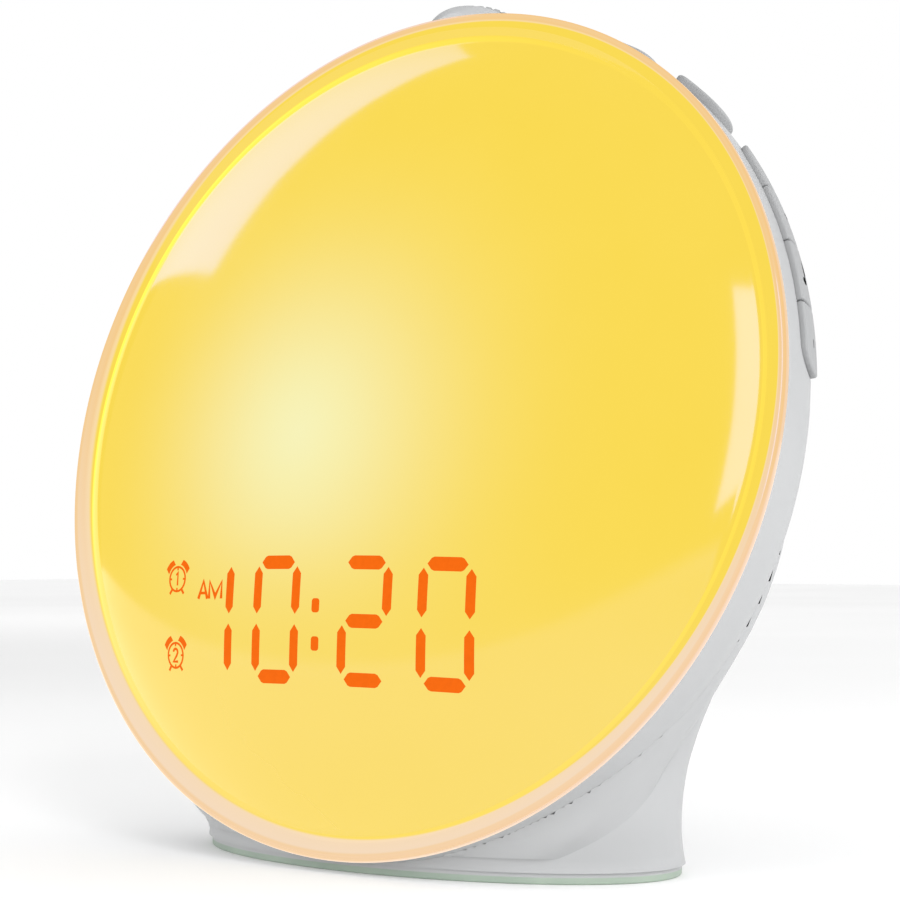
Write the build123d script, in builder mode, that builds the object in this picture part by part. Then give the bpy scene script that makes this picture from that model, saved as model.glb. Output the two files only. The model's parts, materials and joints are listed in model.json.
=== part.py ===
from build123d import *
import os
from math import sin, cos, radians, sqrt

os.makedirs("parts", exist_ok=True)

# Sunrise alarm clock. Millimetres, +Z up, the dome faces -Y and leans back.
# Origin: centre of the oval foot, on the surface that the clock stands on.

# ---------------------------------------------------------------- dimensions
lean = 12.4                 # backward lean of the dome's rim plane, degrees
rim_y, rim_z = -15.7, 89.9  # centre of the rim plane

lens_r = 89.0               # outer radius of the diffuser
bead_in_r = 85.6            # inner edge of the bead's front face
dome_r = 84.0               # where the dome meets the bead
dome_high = 16.4            # crown of the dome in front of the rim plane
lens_wall = 2.0
lens_back = 2.2             # depth of the diffuser's seat behind the rim plane

shell_r = 88.6              # outer radius of the shell's band
band_end = 8.0              # depth at which the band starts to curve in
shell_deep = 36.0           # depth of the curved part behind the band
wall = 2.4

pad_thick = 2.2
# neck and foot: height, half width, half depth, centre y
neck = [
    (2.2, 57.1, 29.4, 0.0),
    (7.0, 57.4, 29.4, -1.8),
    (13.0, 58.7, 29.6, -4.0),
    (21.0, 60.1, 29.8, -4.2),
    (30.0, 63.3, 30.2, -4.1),
    (40.0, 68.4, 30.5, -4.1),
    (50.0, 74.4, 30.8, -4.6),
    (60.0, 79.0, 30.8, -5.2),
    (71.0, 82.0, 30.0, -6.6),
    (82.0, 83.0, 28.6, -8.4),
]

snooze_r = 12.0
snooze_tilt = 28.0          # the snooze button's axis, tilted to the back
snooze_at = (89.4, 18.3)    # its rim plane's centre: height up the face, depth
snooze_travel = 1.2
key_travel = 0.8
key_proud = 1.2
bar_proud = 1.9
slot_gap = 0.35

key_band = (8.0, 18.5)      # depth range of the long key strips
key_edges = (51.0, 59.2, 67.4, 75.7, 84.4)   # degrees clockwise from the top
bar_band = (9.6, 18.4)
bars = ((19.8, 31.2), (35.2, 46.4))

# ---------------------------------------------------------------- frames
s_, c_ = sin(radians(lean)), cos(radians(lean))
centre = Vector(0, rim_y, rim_z)
out = Vector(0, -c_, s_)        # outward normal of the rim plane
up = Vector(0, s_, c_)          # up the face
right = Vector(1, 0, 0)
face = Plane(origin=centre, x_dir=right, z_dir=out)
face_axis = Axis(centre, out)


def radial(phi):
    """Plane through the face's axis: local x is the radius, local y is outward."""
    a = radians(phi)
    e = right * sin(a) + up * cos(a)
    return Plane(origin=centre, x_dir=e, z_dir=e.cross(out))


def key_plane(phi):
    """Local z is the radius at phi, local x runs clockwise, local y is depth."""
    a = radians(phi)
    e = right * sin(a) + up * cos(a)
    t = right * cos(a) - up * sin(a)
    return Plane(origin=centre, x_dir=t, z_dir=e)


def dome(r, drop=0.0):
    return dome_high - r * r / 595.6 - 5.65 * (r / dome_r) ** 8 - drop


def shell_at(depth, grow=0.0):
    if depth <= band_end:
        return shell_r + grow
    return (shell_r + grow) * sqrt(1 - ((depth - band_end) / (shell_deep + grow)) ** 2)


def bowl_curve(r, deep):
    """Points of the bowl's quarter ellipse, from the band to the axis: radius, outward distance."""
    return [(r * cos(radians(a)), -band_end - deep * sin(radians(a))) for a in (0, 12, 24, 36, 48, 60, 70, 80, 90)]


# ---------------------------------------------------------------- front lens
dome_pts = [(r, dome(r)) for r in (0, 14, 28, 42, 54, 64, 72, 78, 82, dome_r)]
in_pts = [(r, dome(r * dome_r / 82.6, lens_wall)) for r in (82.6, 80.5, 76.5, 70.5, 62.5, 53, 41, 27, 13.5, 0)]
with BuildPart() as front_lens:
    with BuildSketch(radial(90)):
        with BuildLine():
            Spline(*dome_pts, tangents=[(1, 0), (1, -0.82)])
            Line((dome_r, dome(dome_r)), (bead_in_r, -0.0))
            Line((bead_in_r, 0), (lens_r - 1.3, 0))
            RadiusArc((lens_r - 1.3, 0), (lens_r, -1.3), 1.3)
            Polyline((lens_r, -1.3), (lens_r, -lens_back + 0.25), (lens_r - 0.25, -lens_back),
                     (86.1, -lens_back), (86.1, -5.0), (84.6, -5.0), (84.6, -3.6),
                     (82.6, dome(dome_r, lens_wall)))
            Spline(*in_pts, tangents=[(-1, 0.82), (-1, 0)])
            Line((0, dome(0, lens_wall)), (0, dome(0)))
        make_face()
    revolve(axis=face_axis)
front_lens.part.label = "front_lens"
export_step(front_lens.part, "parts/front_lens.step")

# a body that fills everything behind the dome, kept 0.6 mm clear of it
clear_pts = [(r, dome(r * dome_r / 82.0, lens_wall + 0.6)) for r in (0, 20, 40, 55, 66, 74, 79, 82)]
with BuildPart() as behind_dome:
    with BuildSketch(radial(90)):
        with BuildLine():
            Spline(*clear_pts, tangents=[(1, 0), (1, -0.82)])
            Polyline(clear_pts[-1], (82.0, -60), (0, -60), clear_pts[0])
        make_face()
    revolve(axis=face_axis)

# soft ring between the lens's spigot and the reflector's flange
with BuildPart() as light_seal:
    with BuildSketch(radial(90)):
        with BuildLine():
            Polyline((82.8, -4.1), (84.3, -4.1), (84.3, -5.1), (82.8, -5.1), close=True)
        make_face()
    revolve(axis=face_axis)
light_seal.part.label = "light_seal"
export_step(light_seal.part, "parts/light_seal.step")

# ---------------------------------------------------------------- shell forms
with BuildPart() as outer_form:
    with BuildSketch(radial(14)):
        with BuildLine():
            Line((0, -lens_back), (shell_r - 0.3, -lens_back))
            Line((shell_r - 0.3, -lens_back), (shell_r, -lens_back - 0.3))
            Line((shell_r, -lens_back - 0.3), (shell_r, -band_end))
            Spline(*bowl_curve(shell_r, shell_deep), tangents=[(0, -1), (-1, 0)], tangent_scalars=(1, 1))
            Line((0, -band_end - shell_deep), (0, -lens_back))
        make_face()
    revolve(axis=face_axis)
    for z, a, b, y in neck:
        with BuildSketch(Plane.XY.offset(z)):
            with Locations((0, y)):
                Ellipse(a, b)
    loft()
    split(bisect_by=face.offset(-lens_back), keep=Keep.BOTTOM)
    split(bisect_by=Plane.XY.offset(pad_thick), keep=Keep.TOP)

with BuildPart() as inner_neck:
    for z, a, b, y in neck:
        with BuildSketch(Plane.XY.offset(z)):
            with Locations((0, y)):
                Ellipse(a - wall, b - wall)
    loft()
    split(bisect_by=face.offset(-lens_back - wall), keep=Keep.BOTTOM)

with BuildPart() as inner_form:
    with BuildSketch(radial(14)):
        with BuildLine():
            Line((0, 2), (shell_r - wall, 2))
            Line((shell_r - wall, 2), (shell_r - wall, -band_end))
            Spline(*bowl_curve(shell_r - wall, shell_deep - wall), tangents=[(0, -1), (-1, 0)], tangent_scalars=(1, 1))
            Line((0, -band_end - shell_deep + wall), (0, 2))
        make_face()
    revolve(axis=face_axis)
    add(inner_neck.part)
    # recess for the foot plate
    with BuildSketch(Plane.XY.offset(pad_thick - 1)):
        Ellipse(neck[0][1] - wall, neck[0][2] - wall)
    extrude(amount=3.7)

# ---------------------------------------------------------------- snooze frame
snooze_axis = up * cos(radians(snooze_tilt)) - out * sin(radians(snooze_tilt))
snooze_plane = Plane(origin=centre + up * snooze_at[0] - out * snooze_at[1], x_dir=right, z_dir=snooze_axis)
turret_r, turret_top, turret_floor, turret_end = 14.6, -3.4, -8.2, -10.4

with BuildPart() as turret:
    with BuildSketch(snooze_plane.offset(turret_end)):
        Circle(turret_r)
    extrude(amount=turret_top - turret_end)
    fillet(turret.edges().sort_by(Axis(snooze_plane.origin, snooze_axis))[-1], 0.8)
    split(bisect_by=face.offset(-lens_back - 0.3), keep=Keep.BOTTOM)
    with BuildSketch(face.offset(-7.2)):
        Circle(shell_r - wall)
    extrude(amount=8, mode=Mode.SUBTRACT)

# ---------------------------------------------------------------- screw posts and speaker collar
post_at = ((50, 30), (-50, 30), (50, -30), (-50, -30))
speaker_up = 24.0
with BuildPart() as posts:
    with BuildSketch(face.offset(-13.7)):
        with Locations(*post_at):
            Circle(4.0)
    extrude(amount=-34)
    with BuildSketch(face.offset(-31)):
        with Locations((0, speaker_up)):
            Circle(21.6)
            Circle(19.9, mode=Mode.SUBTRACT)
    extrude(amount=-14)
    with BuildSketch(face.offset(-36.5)):
        with Locations((0, speaker_up)):
            Circle(20.4)
            Circle(17.8, mode=Mode.SUBTRACT)
    extrude(amount=-8)
    # bosses for the foot screws, tied to the side walls
    with BuildSketch(Plane.XY.offset(5.0)):
        with Locations((45, 8), (45, -10), (-45, 8), (-45, -10)):
            Circle(3.4)
        with Locations((50, 8), (50, -10), (-50, 8), (-50, -10)):
            Rectangle(10, 2.4)
    extrude(amount=12)

# the hollow, with the posts, the collar and the turret's well left standing in it
with BuildPart() as cavity:
    add(inner_form.part)
    add(turret.part, mode=Mode.SUBTRACT)
    add(posts.part, mode=Mode.SUBTRACT)


def sector(r0, r1, d0, d1, phi0, phi1, round_ends=(0, 0), top=None):
    """Ring sector between two depths; its radial end edges may be rounded.
    top adds that much to the shell's own curve instead of the flat r1."""
    with BuildPart() as sec:
        with BuildSketch(radial(phi1)):
            with BuildLine():
                if top is None:
                    Polyline((r0, -d0), (r1, -d0), (r1, -d1), (r0, -d1), close=True)
                else:
                    n_ = 7
                    pts = [(shell_at(d0 + (d1 - d0) * i / (n_ - 1), top), -(d0 + (d1 - d0) * i / (n_ - 1)))
                           for i in range(n_)]
                    Spline(*pts)
                    Polyline(pts[-1], (r0, -d1), (r0, -d0), pts[0])
            make_face()
        revolve(axis=face_axis, revolution_arc=phi1 - phi0)
        for phi, rad in ((phi0, round_ends[0]), (phi1, round_ends[1])):
            if rad > 0:
                mid = radial(phi)
                ends = sec.edges().filter_by(GeomType.LINE).filter_by(
                    lambda e: abs(e.tangent_at(0.5).dot(mid.x_dir)) > 0.9999
                    and abs((e.center() - centre).dot(mid.z_dir)) < 0.05)
                fillet(ends, rad)
    return sec.part


slots = []
for side in (1, -1):
    for lo, hi, band in ((key_edges[0], key_edges[-1], key_band), (*bars[0], bar_band), (*bars[1], bar_band)):
        g = slot_gap / 88 * 57.3
        a, b = (lo - g, hi + g) if side > 0 else (-hi - g, -lo + g)
        w_ = (band[1] - band[0]) / 2 + slot_gap - 0.05
        slots.append(sector(79, 95, band[0] - slot_gap, band[1] + slot_gap, a, b, (w_, w_)))

door_x, door_z0, door_w, door_h = 0, 44, 36, 24
jack_z = 19.2
with BuildPart() as rear_housing:
    add(outer_form.part)
    add(turret.part)
    add(cavity.part, mode=Mode.SUBTRACT)
    # pocket and plunger hole of the snooze button
    with BuildSketch(snooze_plane.offset(turret_floor)):
        Circle(snooze_r + 0.35)
    extrude(amount=14, mode=Mode.SUBTRACT)
    with BuildSketch(snooze_plane.offset(turret_end - 3)):
        Circle(3.6)
    extrude(amount=8, mode=Mode.SUBTRACT)
    for cut in slots:
        add(cut, mode=Mode.SUBTRACT)
    # shell screws: clearance through the posts, head pockets from the back
    with BuildSketch(face.offset(-12)):
        with Locations(*post_at):
            Circle(1.7)
    extrude(amount=-14, mode=Mode.SUBTRACT)
    with BuildSketch(face.offset(-24)):
        with Locations(*post_at):
            Circle(3.2)
    extrude(amount=-30, mode=Mode.SUBTRACT)
    # foot screws
    with BuildSketch(Plane.XY.offset(4)):
        with Locations((45, 8), (45, -10), (-45, 8), (-45, -10)):
            Circle(1.5)
    extrude(amount=10, mode=Mode.SUBTRACT)
    # sound slots
    with BuildSketch(face.offset(-38)):
        for i, length in enumerate((16, 24, 29, 31, 29, 24, 16)):
            with Locations((0, speaker_up + (i - 3) * 4.2)):
                SlotOverall(length, 1.9)
    extrude(amount=-10, mode=Mode.SUBTRACT)
    # battery door opening and power inlet opening
    with BuildSketch(Plane.XZ.offset(-14)):
        with Locations((door_x, door_z0)):
            RectangleRounded(door_w + 0.6, door_h + 0.6, 4.3)
    extrude(amount=-30, mode=Mode.SUBTRACT)
    with BuildSketch(Plane.XZ.offset(-14)):
        with Locations((0, jack_z)):
            RectangleRounded(9.8, 11.8, 1.0)
    extrude(amount=-30, mode=Mode.SUBTRACT)
rear_housing.part.label = "rear_housing"
export_step(rear_housing.part, "parts/rear_housing.step")
print("housing", rear_housing.part.volume, len(rear_housing.part.solids()), rear_housing.part.is_valid)

# ---------------------------------------------------------------- foot
with BuildPart() as foot_pad:
    with BuildSketch():
        Ellipse(56.3, 28.8)
    extrude(amount=pad_thick)
    fillet(foot_pad.edges().group_by(Axis.Z)[0], 0.4)
foot_pad.part.label = "foot_pad"
export_step(foot_pad.part, "parts/foot_pad.step")

foot_screw_at = ((45, 8), (45, -10), (-45, 8), (-45, -10))
board_post_at = ((28, -11), (28, 9), (-28, -11), (-28, 9))
board_z = 12.0
with BuildPart() as foot_plate:
    with BuildSketch(Plane.XY.offset(pad_thick)):
        Ellipse(neck[0][1] - wall - 0.25, neck[0][2] - wall - 0.25)
    extrude(amount=2.4)
    with BuildSketch(Plane.XY.offset(pad_thick + 2.4)):
        with Locations(*board_post_at):
            Circle(3.0)
    extrude(amount=board_z - pad_thick - 2.4)
    with BuildSketch(Plane.XY.offset(pad_thick)):
        with Locations(*foot_screw_at):
            Circle(3.1)
    extrude(amount=1.5, mode=Mode.SUBTRACT)
    with BuildSketch(Plane.XY.offset(pad_thick)):
        with Locations(*foot_screw_at):
            Circle(1.6)
    extrude(amount=3, mode=Mode.SUBTRACT)
    with BuildSketch(Plane.XY.offset(6)):
        with Locations(*board_post_at):
            Circle(1.2)
    extrude(amount=7, mode=Mode.SUBTRACT)
foot_plate.part.label = "foot_plate"
export_step(foot_plate.part, "parts/foot_plate.step")


def screw(plane, head_r, head_h, shank_r, shank_len):
    """Pan-head screw with a cross recess; the plane is the seat, its z points to the head."""
    with BuildPart() as sc:
        with BuildSketch(plane):
            Circle(head_r)
        extrude(amount=head_h)
        fillet(sc.edges().sort_by(Axis(plane.origin, plane.z_dir))[-1], head_h * 0.45)
        with BuildSketch(plane):
            Circle(shank_r)
        extrude(amount=-shank_len)
        with BuildSketch(plane.offset(head_h)):
            Rectangle(head_r * 1.1, head_r * 0.26)
            Rectangle(head_r * 0.26, head_r * 1.1)
        extrude(amount=-head_h * 0.6, mode=Mode.SUBTRACT)
    return sc.part


def at(plane, x, y, z=0.0):
    return Plane(origin=plane.from_local_coords((x, y, z)), x_dir=plane.x_dir, z_dir=plane.z_dir)


down = Plane(origin=(0, 0, pad_thick + 1.5), x_dir=(1, 0, 0), z_dir=(0, 0, -1))
made = [screw(at(down, x, -y), 2.7, 1.35, 1.45, 9.0) for x, y in foot_screw_at]
with BuildPart() as foot_screws:
    add(made)
foot_screws.part.label = "foot_screws"
export_step(foot_screws.part, "parts/foot_screws.step")

# ---------------------------------------------------------------- lamp
dish_front = [(74, -5.4), (62, -7.6), (50, -11.4), (38, -15.4), (27, -17.2)]
with BuildPart() as reflector_dish:
    with BuildSketch(radial(90)):
        with BuildLine():
            Line((86.0, -5.2), (74, -5.4))
            Spline(*dish_front, tangents=[(-1, -0.02), (-1, 0)])
            Polyline((27, -17.2), (0, -17.2), (0, -18.7), (27, -18.7))
            Spline(*[(r - 0.3, z - 1.5) for r, z in dish_front][::-1][1:-1], (74, -6.9),
                   tangents=[(1, 0.36), (1, 0.02)])
            Line((27, -18.7), (37.7, -16.9))
            Polyline((74, -6.9), (86.0, -6.7), (86.0, -5.2))
        make_face()
    revolve(axis=face_axis)
    # bosses that take the shell screws
    with BuildSketch(face.offset(-13.5)):
        with Locations(*post_at):
            Circle(3.6)
    extrude(amount=4.2)
    with BuildSketch(face.offset(-14)):
        with Locations(*post_at):
            Circle(1.5)
    extrude(amount=2.6, mode=Mode.SUBTRACT)
    # window for the read-out's tunnel
    with BuildSketch(face.offset(-22)):
        with Locations((-4, -44)):
            Rectangle(88.2, 32.2)
    extrude(amount=22, mode=Mode.SUBTRACT)
    with BuildSketch(face.offset(-20)):
        with PolarLocations(21, 3, start_angle=90):
            Circle(1.3)
    extrude(amount=4, mode=Mode.SUBTRACT)
reflector_dish.part.label = "reflector_dish"
export_step(reflector_dish.part, "parts/reflector_dish.step")
print("dish", len(reflector_dish.part.solids()), reflector_dish.part.is_valid)

with BuildPart() as led_board:
    with BuildSketch(face.offset(-17.0)):
        Circle(24)
        with PolarLocations(21, 3, start_angle=90):
            Circle(1.3, mode=Mode.SUBTRACT)
    extrude(amount=1.5)
led_board.part.label = "led_board"
export_step(led_board.part, "parts/led_board.step")

with BuildPart() as led_chips:
    with BuildSketch(face.offset(-15.5)):
        with PolarLocations(17.0, 12, start_angle=15):
            Rectangle(4.6, 4.6)
        with PolarLocations(8.6, 6):
            Rectangle(4.6, 4.6)
        Rectangle(4.6, 4.6)
    extrude(amount=1.5)
led_chips.part.label = "led_chips"
export_step(led_chips.part, "parts/led_chips.step")

made = [screw(at(face, 21 * cos(radians(a)), 21 * sin(radians(a)), -15.5), 2.1, 1.1, 1.2, 3.6)
        for a in (90, 210, 330)]
with BuildPart() as led_screws:
    add(made)
led_screws.part.label = "led_screws"
export_step(led_screws.part, "parts/led_screws.step")

back = Plane(origin=face.from_local_coords((0, 0, -24)), x_dir=right, z_dir=out * -1)
made = [screw(at(back, x, -y), 2.8, 1.8, 1.4, 12.6) for x, y in post_at]
with BuildPart() as housing_screws:
    add(made)
housing_screws.part.label = "housing_screws"
export_step(housing_screws.part, "parts/housing_screws.step")

# ---------------------------------------------------------------- read-out
read_x, read_y, read_w, read_h = -4.0, -44.0, 84.0, 28.0
with BuildPart() as display_shroud:
    with BuildSketch(face.offset(-12.5)):
        with Locations((read_x, read_y)):
            Rectangle(87.4, 31.4)
            Rectangle(85.0, 29.0, mode=Mode.SUBTRACT)
    extrude(amount=30)
    add(behind_dome.part, mode=Mode.INTERSECT)
display_shroud.part.label = "display_shroud"
export_step(display_shroud.part, "parts/display_shroud.step")

with BuildPart() as display_module:
    with BuildSketch(face.offset(-6.5)):
        with Locations((read_x, read_y)):
            RectangleRounded(read_w, read_h, 1.0)
    extrude(amount=6.6)
display_module.part.label = "display_module"
export_step(display_module.part, "parts/display_module.step")

with BuildPart() as display_board:
    with BuildSketch(face.offset(-8.1)):
        with Locations((read_x, read_y)):
            Rectangle(read_w, read_h)
    extrude(amount=1.6)
display_board.part.label = "display_board"
export_step(display_board.part, "parts/display_board.step")

# lit segments: columns and rows of the four digits, then the small marks
seg_top, seg_mid, seg_bot = -32.8, -44.0, -55.1
seg_w = 2.5
with BuildPart() as display_segments:
    with BuildSketch(face.offset(0.1)):
        h_ = seg_w / 2

        def upright(x, y0, y1):
            Polygon((x, y0), (x - h_ * 0.8, y0 - h_), (x - h_ * 0.8, y1 + h_), (x, y1),
                    (x + h_ * 0.8, y1 + h_), (x + h_ * 0.8, y0 - h_), align=None)

        def level(x0, x1, y):
            Polygon((x0, y), (x0 + h_, y - h_), (x1 - h_, y - h_), (x1, y), (x1 - h_, y + h_),
                    (x0 + h_, y + h_), align=None)

        for x in (-24.65, -16.7, -6.5, 23.9, 34.3):
            upright(x, -33.6, -42.9)
            upright(x, -44.9, -54.1)
        upright(15.9, -33.6, -42.9)
        upright(5.5, -44.9, -54.1)
        for x0, x1 in ((-16.7, -6.5), (5.5, 15.9), (23.9, 34.3)):
            level(x0 + 0.4, x1 - 0.4, seg_top)
            level(x0 + 0.4, x1 - 0.4, seg_bot)
        level(5.9, 15.5, seg_mid)
        with Locations((-1.2, -41.2), (-1.2, -48.5)):
            RectangleRounded(1.8, 2.7, 0.8)
        # morning mark and the two alarm marks
        with Locations((-32.2, -38.1), (-28.6, -38.1)):
            Rectangle(2.4, 3.4)
        with Locations((-41.2, -35.8), (-41.0, -51.2)):
            Circle(2.4)
    extrude(amount=0.35)
display_segments.part.label = "display_segments"
export_step(display_segments.part, "parts/display_segments.step")
print("segments", len(display_segments.part.solids()))

# ---------------------------------------------------------------- snooze button
crown_x = (snooze_r - 1.1) / 2
crown_r = ((snooze_r - 1.1) ** 2 + 0.9 ** 2) / 1.8     # a sphere centred on the axis
with BuildPart() as snooze_button:
    with BuildSketch(Plane(origin=snooze_plane.origin, x_dir=right, z_dir=right.cross(snooze_axis))):
        with BuildLine():
            Line((0, 0.9), (0, -6.6))
            Line((0, -6.6), (snooze_r, -6.6))
            Line((snooze_r, -6.6), (snooze_r, -0.9))
            RadiusArc((snooze_r, -0.9), (snooze_r - 1.1, 0), -1.15)
            ThreePointArc((snooze_r - 1.1, 0), (crown_x, sqrt(crown_r ** 2 - crown_x ** 2) - crown_r + 0.9), (0, 0.9))
        make_face()
    revolve(axis=Axis(snooze_plane.origin, snooze_axis))
    with BuildSketch(snooze_plane.offset(-6.6)):
        Circle(3.2)
    extrude(amount=-2.9)
    with BuildSketch(snooze_plane.offset(-7)):
        with PolarLocations(snooze_r + 0.12, 38, start_angle=4.7):
            Circle(0.5)
    extrude(amount=6.4, mode=Mode.SUBTRACT)
snooze_button.part.label = "snooze_button"
export_step(snooze_button.part, "parts/snooze_button.step")
print("snooze", len(snooze_button.part.solids()), snooze_button.part.is_valid)

# ---------------------------------------------------------------- keys
plunger_r = 80.6


def key(name, band, proud, phi0, phi1, rounds):
    low = sector(plunger_r + 4.2, 0, band[0], band[1], phi0, phi1, rounds, top=proud)
    mid_phi = (phi0 + phi1) / 2
    kp = key_plane(mid_phi)
    with BuildPart() as k:
        add(low)
        # trim the underside to the shell's inner curve
        with BuildSketch(radial(phi1 + 3)):
            with BuildLine():
                pts = [(shell_at(d, -1.6), -d) for d in (band[0] - 1, band[0] + 3, band[0] + 6, band[1] - 2, band[1] + 1)]
                Spline(*pts)
                Polyline(pts[-1], (70, pts[-1][1]), (70, pts[0][1]), pts[0])
            make_face()
        revolve(axis=face_axis, revolution_arc=phi1 - phi0 + 6, mode=Mode.SUBTRACT)
        with BuildSketch(kp.offset(plunger_r)):
            with Locations((0, (band[0] + band[1]) / 2)):
                RectangleRounded(6.0, 4.4, 0.8)
        extrude(amount=4.6)
        top_face = k.faces().sort_by(lambda f: (f.center() - centre).dot(kp.z_dir))[-1]
        fillet(top_face.edges(), 0.55)
    k.part.label = name
    export_step(k.part, "parts/" + name + ".step")
    print(name, len(k.part.solids()), round(k.part.volume, 1), k.part.is_valid)
    return k.part


end_round = (key_band[1] - key_band[0]) / 2 - 0.05
bar_round = (bar_band[1] - bar_band[0]) / 2 - 0.05
half_gap = 0.13
for side, word in ((1, "right"), (-1, "left")):
    for i in range(4):
        a = key_edges[i] + (half_gap if i > 0 else 0)
        b = key_edges[i + 1] - (half_gap if i < 3 else 0)
        ends = (end_round if i == 0 else 0, end_round if i == 3 else 0)
        if side < 0:
            a, b, ends = -b, -a, ends[::-1]
        key("side_key_%s_%d" % (word, i + 1), key_band, key_proud, a, b, ends)
    for i, (a, b) in enumerate(bars):
        if side < 0:
            a, b = -b, -a
        key("bar_key_%s_%d" % (word, i + 1), bar_band, bar_proud, a, b, (bar_round, bar_round))

# ---------------------------------------------------------------- boards under the keys
side_mid = (key_edges[0] + key_edges[-1]) / 2
upper_mid = (bars[0][0] + bars[1][1]) / 2
key_mids = [(key_edges[i] + key_edges[i + 1]) / 2 for i in range(4)]
bar_mids = [(a + b) / 2 for a, b in bars]
board_r, board_t = 70.2, 1.6
for side, word in ((1, "right"), (-1, "left")):
    with BuildPart() as side_board:
        with BuildSketch(key_plane(side * side_mid).offset(board_r)):
            with Locations((0, 15.8)):
                RectangleRounded(39, 10, 1.0)
        extrude(amount=board_t)
    side_board.part.label = "side_board_" + word
    export_step(side_board.part, "parts/side_board_" + word + ".step")
    with BuildPart() as upper_board:
        with BuildSketch(key_plane(side * upper_mid).offset(board_r)):
            with Locations((0, 15.8)):
                RectangleRounded(30, 10, 1.0)
        extrude(amount=board_t)
    upper_board.part.label = "upper_board_" + word
    export_step(upper_board.part, "parts/upper_board_" + word + ".step")

with BuildPart() as snooze_board:
    with BuildSketch(snooze_plane.offset(-16.6)):
        with Locations((0, 2.75)):
            RectangleRounded(20, 12.5, 1.0)
    extrude(amount=1.6)
snooze_board.part.label = "snooze_board"
export_step(snooze_board.part, "parts/snooze_board.step")

switch_body, tip_r = 3.4, 79.1    # the tips end just short of the pressed keys
with BuildPart() as tact_switches:
    for side in (1, -1):
        for mid, centres in ((side_mid, key_mids), (upper_mid, bar_mids)):
            base = key_plane(side * mid).offset(board_r + board_t)
            for phi in centres:
                # where the key's own radius meets the board
                x = (board_r + board_t + 3) * (sin(radians(side * (phi - mid))) / cos(radians(phi - mid)))
                with BuildSketch(base):
                    with Locations((x, 14.6)):
                        RectangleRounded(6, 6, 0.5)
                extrude(amount=switch_body)
                with BuildSketch(base.offset(switch_body)):
                    with Locations((x, 14.6)):
                        Circle(1.7)
                extrude(amount=sqrt(tip_r ** 2 - x ** 2) - board_r - board_t - switch_body)
    with BuildSketch(snooze_plane.offset(-15.0)):
        RectangleRounded(6, 6, 0.5)
    extrude(amount=3.0)
    with BuildSketch(snooze_plane.offset(-12.0)):
        Circle(1.7)
    extrude(amount=0.9)
tact_switches.part.label = "tact_switches"
export_step(tact_switches.part, "parts/tact_switches.step")
print("switches", len(tact_switches.part.solids()))

# ---------------------------------------------------------------- speaker
sp_o = face.from_local_coords((0, speaker_up, 0))
sp_axis = Axis(sp_o, out)
sp_plane = Plane(origin=sp_o, x_dir=right, z_dir=right.cross(out))
with BuildPart() as speaker_frame:
    with BuildSketch(sp_plane):
        with BuildLine():
            Polyline((19.7, -36.3), (19.7, -35.1), (17.6, -35.1), (11.2, -29.6), (5.2, -29.6), (5.2, -30.6),
                     (10.6, -30.6), (16.6, -35.9), (16.6, -36.3), close=True)
        make_face()
    revolve(axis=sp_axis)
speaker_frame.part.label = "speaker_frame"
export_step(speaker_frame.part, "parts/speaker_frame.step")
with BuildPart() as speaker_cone:
    with BuildSketch(sp_plane):
        with BuildLine():
            Polyline((16.3, -36.3), (16.3, -35.9), (15.0, -36.5), (7.0, -32.4), (0, -33.6), (0, -34.2), (7.2, -33.1),
                     (15.0, -37.1), close=True)
        make_face()
    revolve(axis=sp_axis)
speaker_cone.part.label = "speaker_cone"
export_step(speaker_cone.part, "parts/speaker_cone.step")
with BuildPart() as speaker_magnet:
    with BuildSketch(sp_plane):
        with BuildLine():
            Polyline((0, -24.5), (10.2, -24.5), (10.2, -29.5), (0, -29.5), close=True)
        make_face()
    revolve(axis=sp_axis)
    chamfer(speaker_magnet.edges().filter_by(GeomType.CIRCLE), 0.5)
speaker_magnet.part.label = "speaker_magnet"
export_step(speaker_magnet.part, "parts/speaker_magnet.step")

# ---------------------------------------------------------------- main board and power inlet
with BuildPart() as main_board:
    with BuildSketch(Plane.XY.offset(board_z)):
        with Locations((0, -1)):
            RectangleRounded(66, 30, 2)
        with Locations(*board_post_at):
            Circle(1.6, mode=Mode.SUBTRACT)
    extrude(amount=1.6)
main_board.part.label = "main_board"
export_step(main_board.part, "parts/main_board.step")

with BuildPart() as board_components:
    with BuildSketch(Plane.XY.offset(board_z + 1.6)):
        with Locations((-8, -4)):
            Rectangle(10, 10)
        with Locations((12, -6)):
            Rectangle(6, 4.6)
        with Locations((-22, 2)):
            Rectangle(4, 4)
    extrude(amount=1.6)
    with BuildSketch(Plane.XY.offset(board_z + 1.6)):
        with Locations((18, 6), (-16, 9)):
            Circle(3.2)
    extrude(amount=8)
    with BuildSketch(Plane.XY.offset(board_z + 1.6)):
        with Locations((2, -13), (-18, -13), (18, -13)):
            Rectangle(8, 3.6)
    extrude(amount=4.5)
board_components.part.label = "board_components"
export_step(board_components.part, "parts/board_components.step")

made = [screw(Plane(origin=(x, y, board_z + 1.6)), 2.4, 1.5, 1.1, 6.0) for x, y in board_post_at]
with BuildPart() as board_screws:
    add(made)
board_screws.part.label = "board_screws"
export_step(board_screws.part, "parts/board_screws.step")

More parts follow.
